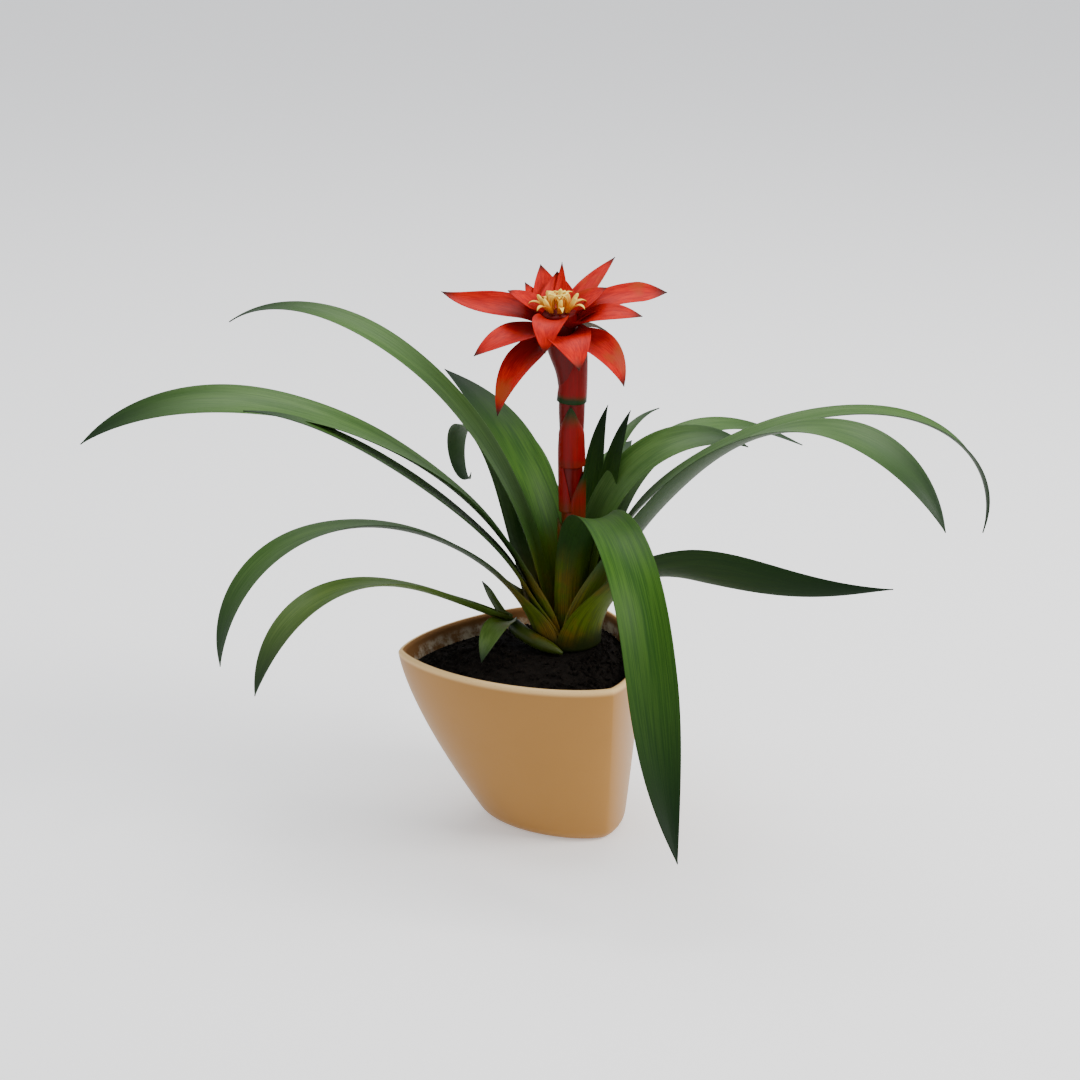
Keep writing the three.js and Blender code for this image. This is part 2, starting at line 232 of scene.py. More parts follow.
def surface(name, rings, finish, u=None, v=None):
    """Closed skin through rings, an array (n, m, 3) of n rings of m points.
    Ring i joins ring i + 1 point by point, and each end is closed by a strip
    between the two halves of its ring. u has m + 1 values and v has n."""
    n, m = rings.shape[:2]
    u = np.linspace(0, 1, m + 1) if u is None else u
    v = np.linspace(0, 1, n) if v is None else v
    i, j = np.meshgrid(np.arange(n - 1), np.arange(m), indexing="ij")
    k = (j + 1) % m
    sides = np.stack([i * m + j, i * m + k, (i + 1) * m + k, (i + 1) * m + j], -1)
    side_u = np.stack([u[j], u[j + 1], u[j + 1], u[j]], -1)
    side_v = np.stack([v[i], v[i], v[i + 1], v[i + 1]], -1)
    a = np.arange(m // 2 - 1)
    foot = np.stack([a, m - 1 - a, m - 2 - a, a + 1], -1)
    tip = (n - 1) * m + foot[:, ::-1]
    faces = np.concatenate([sides.reshape(-1, 4), foot, tip])
    end_u = np.stack([u[a], u[m - 1 - a], u[m - 2 - a], u[a + 1]], -1)
    us = np.concatenate([side_u.reshape(-1, 4), end_u, end_u[:, ::-1]])
    vs = np.concatenate([
        side_v.reshape(-1, 4), np.full(foot.shape, v[0]), np.full(foot.shape, v[-1]),
    ])
    points = rings.reshape(-1, 3)
    p = points[faces]
    swept = np.einsum("ij,ij->i", p[:, 0], np.cross(p[:, 1], p[:, 2]))
    swept += np.einsum("ij,ij->i", p[:, 0], np.cross(p[:, 2], p[:, 3]))
    if swept.sum() < 0:
        faces, us, vs = faces[:, ::-1], us[:, ::-1], vs[:, ::-1]
    mesh = bpy.data.meshes.new(name)
    mesh.vertices.add(len(points))
    mesh.vertices.foreach_set("co", points.astype(np.float32).ravel())
    mesh.loops.add(faces.size)
    mesh.loops.foreach_set("vertex_index", faces.astype(np.int32).ravel())
    mesh.polygons.add(len(faces))
    mesh.polygons.foreach_set("loop_start", np.arange(0, faces.size, 4, dtype=np.int32))
    mesh.polygons.foreach_set("use_smooth", np.ones(len(faces), bool))
    mesh.update(calc_edges=True)
    layer = mesh.uv_layers.new(name="UVMap")
    layer.data.foreach_set("uv", np.stack([us, vs], -1).astype(np.float32).ravel())
    mesh.materials.append(finish.material)
    piece = bpy.data.objects.new(name, mesh)
    bpy.context.collection.objects.link(piece)
    return piece


def belongs(piece, slot, *nodes):
    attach(piece, "root")
    if nodes:
        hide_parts(*nodes)


POT_HEIGHT = 124
POT_WALL = 5
POT_FLOOR = 8.5
POT_TURN = 184
FOOT_SIZE, RIM_SIZE = 47, 82
FOOT_CORNER, RIM_CORNER = 4.8, 10
RIM_LEAN = 20
FOOT_ROUNDING = 8


def pot_outline(z, inset, turn):
    """Level outlines of the pot at heights z. The curve has support
    h(a) = size + corner cos 3a, so its points are h n + h' t, and taking inset
    off the size moves it inward evenly. Size, corner and lean grow with the
    flare 1 - (1 - z / height)^1.4, from the foot's values to the rim's."""
    z, inset = np.atleast_1d(z)[:, None], np.atleast_1d(inset)[:, None]
    flare = 1 - (1 - np.clip(z / POT_HEIGHT, 0, 1)) ** 1.4
    size = FOOT_SIZE + (RIM_SIZE - FOOT_SIZE) * flare - inset
    corner = FOOT_CORNER + (RIM_CORNER - FOOT_CORNER) * flare
    reach = size + corner * np.cos(3 * turn)
    slide = -3 * corner * np.sin(3 * turn)
    angle = turn + math.radians(POT_TURN)
    x = reach * np.cos(angle) - slide * np.sin(angle) - RIM_LEAN * flare
    y = reach * np.sin(angle) + slide * np.cos(angle)
    return np.stack([x, y, z + 0 * x], -1)


around = np.linspace(0, 2 * np.pi, 241)[:-1]
quarter = np.radians(np.linspace(0, 90, 9))
lip = POT_WALL / 2
foot_z = FOOT_ROUNDING * (1 - np.cos(quarter))
foot_in = 0.75 * FOOT_ROUNDING * (1 - np.sin(quarter))
wall_z = np.linspace(FOOT_ROUNDING + 1, POT_HEIGHT - lip - 1, 44)
lip_z = POT_HEIGHT - lip + lip * np.sin(quarter)
lip_in = lip * (1 - np.cos(quarter))
heights = np.concatenate([foot_z, wall_z, lip_z, lip_z[::-1], wall_z[::-1], [POT_FLOOR]])
insets = np.concatenate([
    foot_in, 0 * wall_z, lip_in, POT_WALL - lip_in[::-1], 0 * wall_z + POT_WALL, [POT_WALL],
])

glaze = Finish("tan_glaze", Specular_IOR_Level=0.3, Coat_Roughness=0.3, Coat_IOR=1.4)
at = glaze.place()
height = glaze.part(at, 2)
cloud = glaze.noise(at, 9, 4)
speck = glaze.noise(at, 900, 2)
inner = glaze.ease(glaze.part(glaze.place("UV"), 1), 0.535, 0.56)
tan = glaze.mix(cloud, rgb(0.29, 0.132, 0.017), rgb(0.36, 0.170, 0.028))
tan = glaze.mix(glaze.ease(height, 0.119, 0.1235), tan, rgb(0.78, 0.52, 0.22))
tan = glaze.mix(glaze.ease(speck, 0.66, 0.76, 0.0, 0.3), tan, rgb(0.22, 0.09, 0.02))
clay_and_lip_shade = glaze.mix(glaze.noise(at, 60, 4), rgb(0.13, 0.050, 0.010), rgb(0.24, 0.11, 0.03))
# Painted shade: the pale patches stop short of the lip, so the band just inside it stays brown.
lime = glaze.ease(glaze.noise(at, 70, 5, 0.7), 0.42, 0.66)
lime = lime * glaze.ease(height, 0.1205, 0.116)
clay_and_lip_shade = glaze.mix(lime, clay_and_lip_shade, rgb(0.52, 0.44, 0.32))
glaze.feed(
    Base_Color=glaze.mix(inner, tan, clay_and_lip_shade),
    Roughness=glaze.ease(inner, 0, 1, 0.42, 0.85) + (cloud - 0.5) * 0.12,
    Coat_Weight=glaze.ease(inner, 0, 1, 0.12, 0.0),
)
glaze.bump(glaze.noise(at, 35, 2) + speck * 0.15, 0.25, 0.0006)

pot = surface("pot_shell", pot_outline(heights, insets, around) * MM, glaze)
belongs(pot, "pot", "pot")


# ----------------------------------------------------------------------- soil
# Dark, damp potting compost that fills the pot, a little below the lip at the
# wall and mounded round the foot of the plant, with loose crumbs on top.

CROWN = np.array([3.0, 14.0])
CROWN_HEART = (0.003, 0.010, 0.118)
SOIL_EDGE = 111
SOIL_TOP = 122.4
chance = np.random.default_rng(7)


def ease(low, high, x):
    """Smooth step from 0 to 1 while x goes from low to high."""
    t = np.clip((x - low) / (high - low), 0, 1)
    return t * t * (3 - 2 * t)


def lumps(x, y, size, count=26):
    """Soft random relief in -1..1: the mean of count sine waves with random
    directions whose lengths are spread about size."""
    angle = chance.uniform(0, 2 * np.pi, count)
    wave = 2 * np.pi / (size * chance.uniform(0.6, 1.7, count))
    phase = chance.uniform(0, 2 * np.pi, count)
    total = 0 * x
    for a, w, p in zip(angle, wave, phase):
        total = total + np.sin(w * (x * math.cos(a) + y * math.sin(a)) + p)
    return total / math.sqrt(count)


def soil_height(share):
    return SOIL_EDGE + (SOIL_TOP - SOIL_EDGE) * ease(1.0, 0.5, share)


earth = Finish("potting_soil", Specular_IOR_Level=0.1)
at = earth.place()
grain = earth.noise(at, 420, 5, 0.7)
earth.feed(
    Base_Color=earth.node("ValToRGB", {"stops": [
        (0.30, (0.002, 0.0015, 0.001)), (0.60, (0.010, 0.007, 0.005)),
        (0.78, (0.030, 0.020, 0.013)),
    ]}, {"Fac": grain}),
    Roughness=0.75 + grain * 0.25,
)
earth.bump(grain + earth.noise(at, 1500, 3), 0.9, 0.0012)

under_z = np.array([10.4, 30, 55, 80, 96])
side_rings = pot_outline(under_z, 0 * under_z + POT_WALL + 0.3, around)
rim = pot_outline(SOIL_EDGE, POT_WALL + 0.2, around)[0]
shares = np.linspace(1, 0.02, 120)[:, None]
flat = CROWN + (rim[:, :2] - CROWN) * shares[..., None]
rough = lumps(flat[..., 0], flat[..., 1], 9) * 0.7 + lumps(flat[..., 0], flat[..., 1], 3.4) * 0.55
rough = rough * ease(1.0, 0.93, shares) * (0.35 + 0.65 * ease(0.35, 0.6, shares))
mound = np.concatenate([flat, (soil_height(shares) + rough - 0.4)[..., None]], -1)
soil = surface("soil_mound", np.concatenate([side_rings, mound]) * MM, earth)
belongs(soil, "soil", "soil")


def scatter(name, places, sizes, finish):
    """Loose crumbs as one mesh: squashed octahedra, each stretched and turned
    at random, with its corners pulled in or out by up to a third."""
    count = len(places)
    corner = np.array([
        (1, 0, 0), (0, 1, 0), (-1, 0, 0), (0, -1, 0), (0, 0, 1), (0, 0, -1),
    ], float)
    facet = np.array([
        (0, 1, 4), (1, 2, 4), (2, 3, 4), (3, 0, 4), (1, 0, 5), (2, 1, 5), (3, 2, 5), (0, 3, 5),
    ])
    shape = corner * chance.uniform(0.65, 1.3, (count, 6, 1))
    shape = shape * chance.uniform(0.5, 1.2, (count, 1, 3)) * sizes[:, None, None]
    turn = np.linalg.qr(chance.normal(size=(count, 3, 3)))[0]
    turn = turn * np.sign(np.linalg.det(turn))[:, None, None]
    points = np.einsum("cij,cpj->cpi", turn, shape) + places[:, None]
    faces = facet + 6 * np.arange(count)[:, None, None]
    mesh = bpy.data.meshes.new(name)
    mesh.from_pydata((points * MM).reshape(-1, 3), [], faces.reshape(-1, 3))
    mesh.materials.append(finish.material)
    piece = bpy.data.objects.new(name, mesh)
    bpy.context.collection.objects.link(piece)
    return piece


count = 2600
share = np.sqrt(chance.uniform(0.16, 0.94, count))
edge = rim[chance.integers(0, len(rim), count), :2]
spots = CROWN + (edge - CROWN) * share[:, None]
sizes = chance.uniform(0.5, 1.0, count) ** 3 * 2.1
crumbs = scatter(
    "soil_crumbs",
    np.concatenate([spots, (soil_height(share) + 0.25 * sizes)[:, None]], 1), sizes, earth,
)
belongs(crumbs, "soil")


# --------------------------------------------------------------------- leaves
# Strap leaves of one rosette: a wide sheath clasping the crown, a channelled
# blade, and a pointed tip. Waxy, grey-green above, turning yellow-green and
# orange at the sheath, with fine veins along the blade. The near-black
# undersides are painted shade, and so is the darkening of each blade towards
# the crown.

def blend(values, s):
    """Even (Bezier) blend through a short list of values at s in 0..1."""
    row = [float(value) + 0 * s for value in values]
    while len(row) > 1:
        row = [a + (b - a) * s for a, b in zip(row, row[1:])]
    return row[0]


def strap(name, finish, x, y, z, radius, heading, pitch, length, foot=42, width=29,
          roll=(0,), wrap=80, stand=2, channel=24, neck=0.22, taper=0.62, point=2,
          thick=0.9, rows=150, across=9, wave=0.5):
    """A leaf along a pen line that starts on a ring of this radius round
    (x, y, z) and moves at even speed with the blended heading and pitch. Its
    section is an arc of the local width and half-angle, in the plane of the
    side and face directions after the roll; thickness falls to nothing at
    both margins, and a slight ripple runs along them."""
    s = np.linspace(0, 1, rows + 1)
    h, p, r = (np.radians(blend(values, s)) for values in (heading, pitch, roll))
    ahead = np.stack([np.cos(p) * np.cos(h), np.cos(p) * np.sin(h), np.sin(p)], -1)
    steps = (ahead[1:] + ahead[:-1]) * length / rows / 2
    start = math.radians(heading[0])
    pen = np.array([x + radius * math.cos(start), y + radius * math.sin(start), z])
    pen = pen + np.concatenate([np.zeros((1, 3)), np.cumsum(steps, 0)])
    level = np.stack([-np.sin(h), np.cos(h), 0 * h], -1)
    upper = np.stack([-np.sin(p) * np.cos(h), -np.sin(p) * np.sin(h), np.cos(p)], -1)
    side = level * np.cos(r)[:, None] + upper * np.sin(r)[:, None]
    face = upper * np.cos(r)[:, None] - level * np.sin(r)[:, None]
    body = foot + (width - foot) * ease(0, neck, s)
    end = np.clip((s - taper) / (1 - taper), 0, 1)
    body = np.maximum(0.5, body * (1 - end ** point))
    wrapped = min(math.radians(wrap), foot / (2 * (radius + stand)))
    half = wrapped + (math.radians(channel) - wrapped) * ease(0, neck, s)
    spread = np.sin(np.linspace(-1, 1, 2 * across + 1) * np.pi / 2)
    upward = np.concatenate([np.ones(2 * across), -np.ones(2 * across)])
    where = np.concatenate([spread[:-1], spread[:0:-1]])
    thin = thick / 2 * upward * np.sqrt(1 - where ** 4 + 1e-9)
    bend = half[:, None] * where
    bow = (body / (2 * half))[:, None]
    beat = s[:, None] * length / 17 + radius + 2.2 * np.sign(where)
    ripple = wave * where ** 2 * np.sin(beat) * (ease(0.1, 0.3, s) * (1 - s))[:, None]
    out = (bow - thin) * np.sin(bend)
    up = bow - (bow - thin) * np.cos(bend) + ripple
    rings = pen[:, None] + side[:, None] * out[..., None] + face[:, None] * up[..., None]
    lengthwise = chance.integers(0, 40) + 0.999 * s
    return surface(name, rings * MM, finish, np.linspace(0, 2, 4 * across + 1), lengthwise)


def waxy(name, foot_colours, blade, veins, back, dark_tip, reach=(0.03, 0.09), fade=0.7,
         faded=None, soiled=rgb(0.012, 0.018, 0.001), **fixed):
    """Leaf finish. The UV map runs 0..1 across the upper face and 1..2 across
    the lower, and its v is a leaf number plus the share of the length. The
    foot colours show near the crown, and soiled where they meet the soil.
    The back colour is painted shade: it covers the lower face and darkens
    each blade from the middle of its length towards the crown."""
    skin = Finish(name, **fixed)
    at = skin.place()
    uv = skin.place("UV")
    across = skin.part(uv, 0)
    number = skin.part(uv, 1)
    along = number.wrap()
    under = across > 1
    fine = skin.node("CombineXYZ", {}, {"X": across * 55, "Y": number * 7})
    broad = skin.node("CombineXYZ", {}, {"X": across * 9, "Y": number * 4})
    vein = skin.noise(fine, 1, 3, 0.6)
    band = skin.noise(broad, 1, 2)
    patch = skin.noise(at, 28, 4, 0.6)
    colour = skin.mix(skin.ease(vein * 0.6 + band * 0.4, 0.38, 0.62), blade, veins)
    if faded:
        worn = skin.ease(skin.noise(at, 38, 3) + (vein - 0.5) * 0.2, 0.60, 0.76)
        colour = skin.mix(worn, colour, faded)
    # Painted shade: the lower face takes most of the back colour, and each blade takes up to 0.45
    # of it from the middle of its length down towards the crown.
    crown_shade = skin.ease(along, 0.55, 0.25, 0.0, 0.45)
    colour = skin.mix((under * 0.85).over(crown_shade), colour, back)
    gap = skin.node("VectorMath", {"operation": "DISTANCE"}, {0: at, 1: CROWN_HEART}, "Value")
    foot = skin.ease(gap + (patch - 0.5) * 0.05 + (band - 0.5) * 0.03, reach[1], reach[0])
    base = skin.mix(skin.ease(patch, 0.42, 0.62), foot_colours[0], foot_colours[1])
    base = skin.mix(skin.ease(vein, 0.44, 0.60, 0.0, 0.5), base, soiled)
    height = skin.part(at, 2)
    base = skin.mix(skin.ease(height + (patch - 0.5) * 0.02, 0.142, 0.126), base, soiled)
    colour = skin.mix(foot, colour, base)
    tip = skin.ease(along + (band - 0.5) * 0.12, fade, 1.0)
    colour = skin.mix(tip, colour, dark_tip)
    skin.feed(
        Base_Color=colour,
        Roughness=skin.ease(under, 0, 1, 0.46, 0.60) + (vein - 0.5) * 0.2,
    )
    skin.bump(vein + band * 0.8, 0.35, 0.0004)
    return skin


# The back colours given here are painted shade, near black on the lower faces and towards the
# crown.
leaf_skin = waxy(
    "leaf_skin", (rgb(0.085, 0.120, 0.001), rgb(0.200, 0.110, 0.001)),
    rgb(0.030, 0.086, 0.008), rgb(0.062, 0.135, 0.024), rgb(0.005, 0.022, 0.001),
    rgb(0.004, 0.022, 0.002), Specular_IOR_Level=0.25,
)
# Painted shade: a darker copy of the leaf skin for the leaves that face the front, and its
# near-black outer part from 0.45 of the length is painted shade too.
shade_copy_skin = waxy(
    "shade_copy_leaf_skin", (rgb(0.070, 0.105, 0.001), rgb(0.170, 0.090, 0.001)),
    rgb(0.014, 0.060, 0.001), rgb(0.042, 0.115, 0.006), rgb(0.003, 0.014, 0.001),
    rgb(0.0004, 0.010, 0.0002), fade=0.45, Specular_IOR_Level=0.14,
)
SHADE_COPY_LEAVES = ("leaf_front", "leaf_upright", "leaf_twisted", "leaf_young_a", "leaf_young_b")

LEAF_FOOT = 123
LEAVES = {
    "leaf_young_a": dict(radius=9, heading=(65, 55), pitch=(70, 65, 85, 90, 55), length=160,
        foot=26, width=17),
    "leaf_young_b": dict(radius=11, heading=(30, 50), pitch=(75, 75, 85, 85, 50), length=160,
        foot=26, width=17),
    "leaf_front": dict(radius=11, heading=(-75, -70), pitch=(90, 90, 5, -125, -70, -50),
        length=385, foot=26, neck=0.5, width=35, taper=0.7),
    "leaf_upright": dict(radius=11, heading=(120, 135), pitch=(80, 90, 45, 25, 20),
        length=220, foot=34, width=34),
    "leaf_broad": dict(radius=12, heading=(25, -5), pitch=(90, 85, 75, 20, -25), length=210,
        roll=(0, 25, 30), width=32),
    "leaf_high": dict(radius=13, heading=(170, 155), pitch=(85, 75, 40, 35, -35), length=365,
        foot=36, neck=0.16, roll=(0, -15, -15), width=22),
    "leaf_thin": dict(radius=14, heading=(60, 45), pitch=(65, 85, 90, 45, 0), length=180,
        foot=24, width=12),
    "leaf_pale": dict(radius=16, heading=(45, 15), pitch=(70, 90, 55, -30, -25), length=255,
        roll=(0, 5, 10), width=26),
    "leaf_hooked": dict(radius=16, heading=(135, 110), pitch=(50, 75, 90, 35, -245),
        length=245, width=20),
    "leaf_long_left": dict(radius=17, heading=(185, 180), pitch=(85, 40, 25, 15, -40),
        length=395, foot=46, neck=0.16, roll=(0, 30, -20, -45), width=34),
    "leaf_far_right": dict(radius=18, heading=(-15, 10), pitch=(90, 80, -20, 60, -25, -105),
        length=410, foot=44, width=23, taper=0.7),
    "leaf_wide_right": dict(radius=19, heading=(-35, -45), pitch=(90, 25, 70, 5, -60),
        length=385, foot=48, roll=(0, -15, 0, 25), width=29, taper=0.75),
    "leaf_under_left": dict(radius=20, heading=(190, 190), pitch=(90, 35, 35, 45, 5),
        length=275, foot=52, neck=0.16, width=24),
    "leaf_back_left": dict(radius=20, heading=(108, 112), pitch=(80, 70, 45, 15), length=165,
        foot=50, width=26),
    "leaf_back_right": dict(radius=20, heading=(72, 66), pitch=(80, 65, 30, 0), length=165,
        foot=50, width=26),
    "leaf_low_left": dict(radius=22, heading=(180, 210), pitch=(80, 10, 40, -45, -90),
        length=305, foot=60, neck=0.16, roll=(0, 35, 0, -30), width=29),
    "leaf_twisted": dict(radius=22, heading=(-35, -5), pitch=(90, 40, -45, 5, 5), length=240,
        foot=60, roll=(0, 0, -90, -110, -60), width=34, taper=0.45, point=1.2),
}
for node, form in LEAVES.items():
    skin = shade_copy_skin if node in SHADE_COPY_LEAVES else leaf_skin
    leaf = strap(node + "_blade", skin, *CROWN, LEAF_FOOT, **form)
    belongs(leaf, "leaf", node)


# ----------------------------------------------------------------- side shoot
# An offset on a short bare stem that lies on the soil round the foot of the
# crown, with a long leaf, a spike and a pale curled leaf of its own.

shoot_skin = waxy(
    "shoot_skin", (rgb(0.060, 0.095, 0.004), rgb(0.120, 0.060, 0.003)),
    rgb(0.038, 0.085, 0.008), rgb(0.075, 0.130, 0.022), rgb(0.042, 0.078, 0.005),
    rgb(0.006, 0.022, 0.002), reach=(0.035, 0.065), soiled=rgb(0.036, 0.058, 0.001),
    Specular_IOR_Level=0.3,
)
SHOOT = (-36, 18, 135)
SHOOT_STEM = np.array([
    (-1, -15, 124.6, 1.2), (-8, -12, 127, 3.6), (-16, -6, 128.5, 4.8), (-23, 2, 129.5, 5),
    (-29, 9, 131, 5.2), (-33.5, 15, 133, 5),
])


def stem(name, knots, finish, sides=32, rows=60):
    """Round stem through knots (x, y, z, radius), joined by even cubic
    (Catmull-Rom) spans, with level rings turned square to the path."""
    k = np.linspace(0, len(knots) - 1.001, rows)
    i, t = k.astype(int), (k % 1)[:, None]
    padded = np.concatenate([knots[:1] * 2 - knots[1:2], knots, knots[-1:] * 2 - knots[-2:-1]])
    a, b, c, d = (padded[i + n] for n in range(4))
    path = b + t / 2 * (c - a) + t * t * (a - 2.5 * b + 2 * c - d / 2)
    path = path + t ** 3 * (1.5 * (b - c) + (d - a) / 2)
    ahead = np.gradient(path[:, :3], axis=0)
    ahead /= np.linalg.norm(ahead, axis=1)[:, None]
    helper = (0, 0, 1) if abs(ahead[:, 2]).mean() < 0.8 else (0, 1, 0)
    side = np.cross(ahead, helper)
    side /= np.linalg.norm(side, axis=1)[:, None]
    over = np.cross(side, ahead)
    turn = np.linspace(0, 2 * np.pi, sides + 1)[:-1]
    ring = side[:, None] * np.cos(turn)[:, None] + over[:, None] * np.sin(turn)[:, None]
    rings = path[:, None, :3] + ring * path[:, None, 3:]
    return surface(name, rings * MM, finish)


shoot = stem("shoot_runner", SHOOT_STEM, shoot_skin)
belongs(shoot, "shoot", "shoot_stem")
SHOOT_LEAVES = {
    "shoot_leaf_long": dict(radius=1, heading=(205, 220), pitch=(25, 35, 30, -40, -75),
        length=230, foot=14, width=26, channel=30, roll=(0, 20, 0, -25)),
    "shoot_leaf_spike": dict(radius=2.6, heading=(150, 160), pitch=(40, 60, 60), length=32,
        foot=12, width=9),
    "shoot_leaf_curled": dict(radius=2.6, heading=(250, 250), pitch=(30, -10, -50), length=58,
        foot=14, width=18, taper=0.4),
}
for node, form in SHOOT_LEAVES.items():
    leaf = strap(node + "_blade", shoot_skin, *SHOOT, **form)
    belongs(leaf, "shoot", node)


# ---------------------------------------------------------------------- scape
# The flower stalk: a round dark red stem clasped by overlapping bracts, each
# rising from a joint of the stem and ending in a green point.

def stalk_streaks(skin, blotch_size):
    """Fine streaks that run up the stalk, soft blotches, and the height."""
    at = skin.place()
    drawn_out = skin.node(
        "VectorMath", {"operation": "MULTIPLY"}, {0: at, 1: (900, 900, 45)},
    )
    return skin.noise(drawn_out, 1, 3), skin.noise(at, blotch_size, 3), skin.part(at, 2)


def stalk_surface(skin, colour, streak, roughness):
    skin.feed(Base_Color=colour, Roughness=roughness + (streak - 0.5) * 0.3)
    skin.bump(streak, 0.4, 0.0004)


scape_skin = Finish("scape_skin", Specular_IOR_Level=0.15)
streak, blotch, height = stalk_streaks(scape_skin, 45)
red = scape_skin.mix(streak, rgb(0.060, 0.0006, 0.0006), rgb(0.15, 0.001, 0.001))
low = scape_skin.mix(blotch, rgb(0.10, 0.012, 0.001), rgb(0.04, 0.05, 0.002))
red = scape_skin.mix(scape_skin.ease(height + (blotch - 0.5) * 0.03, 0.235, 0.195), red, low)
stalk_surface(scape_skin, red, streak, 0.38)

SCAPE_X, HEAD_X = 5, -4
SCAPE = np.array([
    (123, 5.5), (160, 6), (200, 6.5), (240, 7), (270, 8), (285, 8.6), (300, 8.8),
    (314, 9.4), (328, 11), (342, 12), (352, 12),
])
lean = (HEAD_X - SCAPE_X) * ease(300, 352, SCAPE[:, 0])
knots = np.stack([SCAPE_X + lean, 14 + 0 * lean, SCAPE[:, 0], SCAPE[:, 1]], -1)
scape = stem("scape_stem", knots, scape_skin, 40, 120)
belongs(scape, "scape", "scape")

GREEN_POINT = rgb(0.006, 0.024, 0.002)
clasp_skin = Finish("clasp_skin", Specular_IOR_Level=0.15)
streak, blotch, height = stalk_streaks(clasp_skin, 60)
along = clasp_skin.part(clasp_skin.place("UV"), 1).wrap()
red = clasp_skin.mix(streak, rgb(0.10, 0.0004, 0.0004), rgb(0.27, 0.0006, 0.0006))
point = clasp_skin.ease(along + (blotch - 0.5) * 0.25, 0.62, 0.95)
red = clasp_skin.mix(point, red, GREEN_POINT)
joint = clasp_skin.ease(along + (blotch - 0.5) * 0.1, 0.16, 0.04)
joint = joint * clasp_skin.ease(height, 0.275, 0.285, 0.2, 1.0)
red = clasp_skin.mix(joint, red, GREEN_POINT)
low = clasp_skin.mix(blotch, rgb(0.12, 0.012, 0.001), rgb(0.04, 0.06, 0.002))
red = clasp_skin.mix(clasp_skin.ease(height + (blotch - 0.5) * 0.03, 0.235, 0.190), red, low)
stalk_surface(clasp_skin, red, streak, 0.45)

CLASP = dict(length=62, foot=40, wrap=150, stand=0.3, width=24, channel=90, neck=0.9, taper=0.5,
             point=1.8, radius=7.4, pitch=(86, 90, 88), thick=0.8, rows=60, wave=0.2)
CLASPS = {
    "scape_bract_1": dict(z=150, heading=(200, 200)),
    "scape_bract_2": dict(z=184, heading=(340, 340), radius=7.8, foot=42),
    "scape_bract_3": dict(z=216, heading=(120, 120), radius=8, foot=43),
    "scape_bract_4": dict(z=248, heading=(265, 265), radius=8.6, foot=46, length=43),
    "scape_bract_5": dict(z=292, heading=(-30, -30), radius=9.4, foot=50, length=42),
}
for node, form in CLASPS.items():
    clasp = strap(node + "_blade", clasp_skin, SCAPE_X, CROWN[1], **{**CLASP, **form})
    belongs(clasp, "scape", node)


# ---------------------------------------------------------------- flower head
# Red bracts that spread like a star from the top of the scape round a cup of
# florets. Bright and waxy above, with withered dark points; the darker red below
# and towards the cup is painted shade.

# Painted shade: the back colour, a darker red, covers the lower faces and the inner half of each
# bract.
bract_skin = waxy(
    "bract_skin", (rgb(0.30, 0.0003, 0.0), rgb(0.30, 0.0003, 0.0)),
    rgb(0.33, 0.0003, 0.0), rgb(0.56, 0.010, 0.0), rgb(0.20, 0.0002, 0.0),
    rgb(0.02, 0.006, 0.003), fade=0.8, faded=rgb(0.34, 0.040, 0.006), Specular_IOR_Level=0.12,
)
withered_skin = waxy(
    "withered_skin", (rgb(0.06, 0.010, 0.004), rgb(0.06, 0.010, 0.004)),
    rgb(0.060, 0.045, 0.020), rgb(0.12, 0.09, 0.05), rgb(0.040, 0.025, 0.012),
    rgb(0.02, 0.012, 0.006), Specular_IOR_Level=0.15,
)
BRACT = dict(foot=22, wrap=70, width=22, channel=28, neck=0.3, taper=0.3, point=1.6,
             radius=11, thick=0.7, rows=70, wave=0.5)
BRACTS = {
    "bract_upper_middle": dict(z=352, heading=(90, 95), pitch=(30, 50, 70), length=28,
        width=24),
    "bract_inner_left": dict(z=351, heading=(165, 170), pitch=(35, 35, 25), length=27,
        roll=(0, -15), width=26),
    "bract_inner_right": dict(z=351, heading=(20, 15), pitch=(40, 40, 25), length=27,
        roll=(0, 15), width=26),
    "bract_front_small": dict(z=349, heading=(-105, -100), pitch=(30, -30, -85), length=36,
        width=24),
    "bract_upper_left": dict(z=349, heading=(105, 110), pitch=(25, 45, 55), length=40,
        width=24),
    "bract_left_small": dict(z=347, heading=(130, 130), pitch=(30, 40, 50), length=30,
        width=20),
    "bract_upper_right": dict(z=348, heading=(50, 40), pitch=(45, 30, 35), length=54,
        roll=(0, 20), width=17),
    "bract_curled": dict(z=346, heading=(85, 85), pitch=(50, 60, 75), length=38, width=10),
    "bract_right_long": dict(z=344, heading=(20, 10), pitch=(50, -5, 0), length=68,
        roll=(0, 40, 30), width=19, taper=0.72),
    "bract_left_long": dict(z=343, heading=(165, 155), pitch=(40, -20, 20), length=74,
        roll=(0, -50, -40), width=24),
    "bract_right_low": dict(z=343, heading=(-20, -10), pitch=(40, 5, -5), length=48,
        roll=(0, 25), foot=26, width=29),
    "bract_left_low": dict(z=338, heading=(205, 190), pitch=(15, -15, -35), length=50,
        roll=(0, -25), foot=26, width=32),
    "bract_front_broad": dict(z=338, heading=(-80, -60), pitch=(30, -20, -70), length=42,
        foot=32, width=34),
    "bract_left_hanging": dict(z=332, heading=(225, 220), pitch=(-5, -45, -75), length=62,
        foot=26, width=30),
    "bract_right_hanging": dict(z=334, heading=(-35, -15), pitch=(20, -45, -75), length=51,
        roll=(0, 20), foot=28, width=34),
    "bract_withered": dict(z=336, heading=(35, 20), pitch=(40, -30, -50), length=37, foot=10,
        width=12),
}
for node, form in BRACTS.items():
    skin = withered_skin if node == "bract_withered" else bract_skin
    bract = strap(node + "_blade", skin, HEAD_X, CROWN[1], **{**BRACT, **form})
    belongs(bract, "bract", node)


# -------------------------------------------------------------------- florets
# Small yellow florets that stand in the cup of bracts, each a closed bud with
# three folded petals and a cream tip.

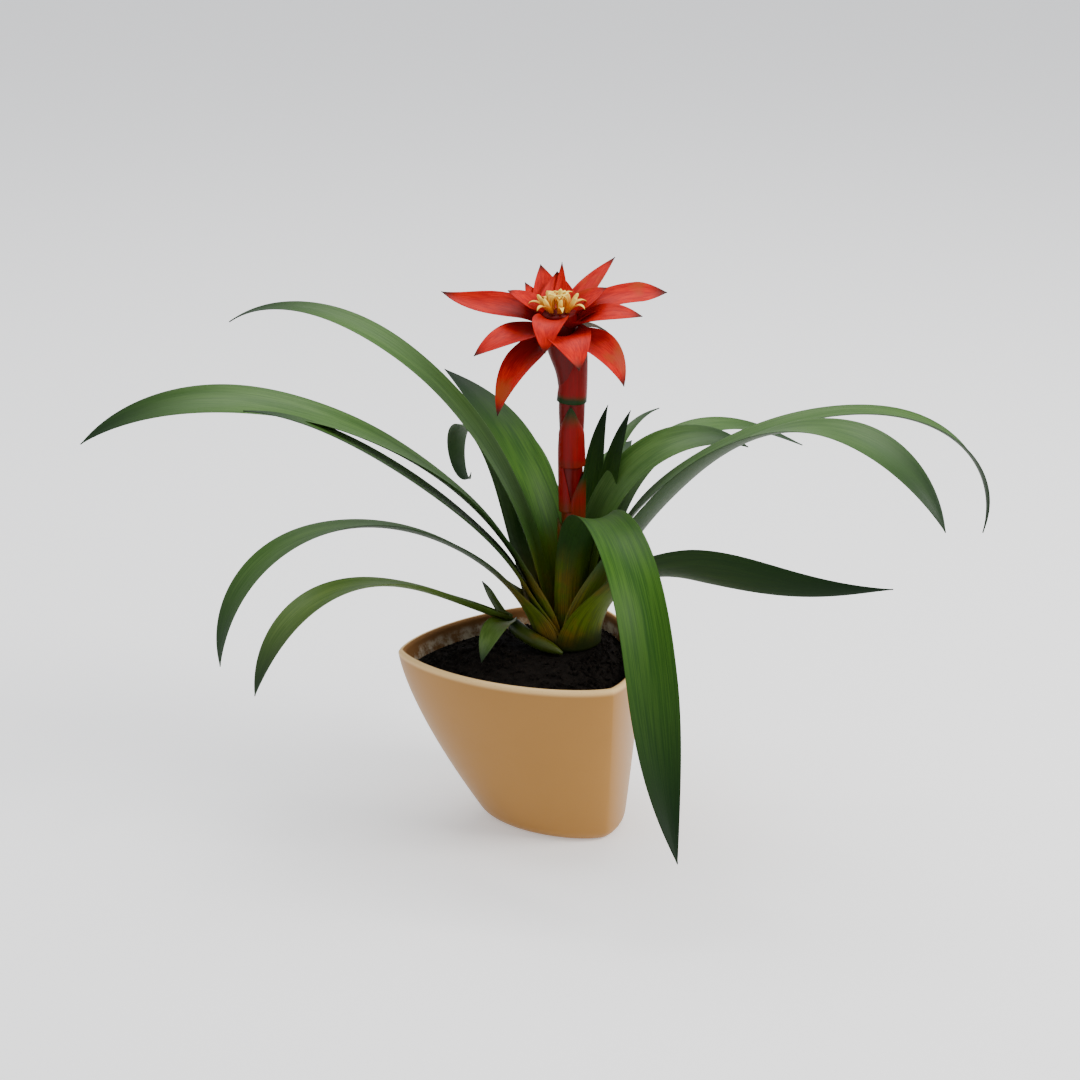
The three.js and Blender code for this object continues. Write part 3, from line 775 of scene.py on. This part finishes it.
floret_skin = Finish("floret_skin", Roughness=0.5, Specular_IOR_Level=0.3)
at = floret_skin.place()
along = floret_skin.part(floret_skin.place("UV"), 1).wrap()
grain = floret_skin.noise(at, 260, 3)
gold = floret_skin.mix(grain, rgb(0.62, 0.13, 0.001), rgb(0.80, 0.36, 0.008))
gold = floret_skin.mix(floret_skin.ease(along, 0.35, 0.85), gold, rgb(0.88, 0.66, 0.10))
floret_skin.feed(Base_Color=gold)
floret_skin.bump(floret_skin.noise(at, 900, 2), 0.3, 0.0003)


FLORET_FOOT = 353.3
RING_RADIUS = 6.5
RING_LEAN = 34
RING_COUNT = 7


def bud(name, x, y, lean, length, fat, rows=40, sides=36):
    """A spindle leaning out from the head's axis. Its radius follows a sine
    hump along the length, and three soft grooves run round it."""
    s = np.linspace(0, 1, rows)[:, None]
    turn = np.linspace(0, 2 * np.pi, sides + 1)[:-1]
    out = np.array([x - HEAD_X, y - CROWN[1], 0.0])
    out = out / np.linalg.norm(out)
    axis = out * math.sin(math.radians(lean)) + np.array([0, 0, math.cos(math.radians(lean))])
    side = np.cross((0, 1, 0), axis)
    side /= np.linalg.norm(side)
    front = np.cross(axis, side)
    radius = fat * (0.25 + 0.75 * np.sin(np.pi * (0.12 + 0.80 * s)) ** 0.8)
    radius = radius * (1 - 0.16 * np.cos(3 * turn) * s) * (1 - ease(0.93, 1.0, s) * 0.7)
    ring = side * np.cos(turn)[:, None] + front * np.sin(turn)[:, None]
    path = np.array([x, y, FLORET_FOOT]) + axis * (s * length)[..., None]
    rings = path + ring * radius[..., None]
    return surface(name, rings * MM, floret_skin, v=np.linspace(0, 0.999, rows))


def petals(node, x, y, turn, lean, length, count=3):
    """Folded petals round a floret, their tips curling outward."""
    for index in range(count):
        around = turn + 360 * (index - (count - 1) / 2) / count
        tilt = lean * math.cos(math.radians(around - turn))
        petal = strap(
            f"{node}_petal_{index + 1}", floret_skin, x, y, FLORET_FOOT, 1.3, (around,),
            (88 - tilt, 74 - tilt, 70 - tilt, -30 - tilt), length, foot=3, width=4.4,
            wrap=60, stand=0.6, channel=50, neck=0.4, taper=0.5, thick=0.5, rows=24,
            across=4, wave=0.3,
        )
        belongs(petal, "floret", node)


petals("floret_middle", HEAD_X + 0.5, CROWN[1], 270, 4, 17)
middle = bud("floret_middle_bud", HEAD_X + 0.5, CROWN[1], 4, 15, 1.9)
belongs(middle, "floret", "floret_middle")
for index in range(RING_COUNT):
    angle = math.radians(20 + 360 * index / RING_COUNT)
    x = HEAD_X + RING_RADIUS * math.cos(angle)
    y = CROWN[1] + RING_RADIUS * math.sin(angle)
    node = f"floret_{index + 1}"
    belongs(bud(node + "_bud", x, y, RING_LEAN, 13, 1.6), "floret", node)
    petals(node, x, y, math.degrees(angle), RING_LEAN, 15)
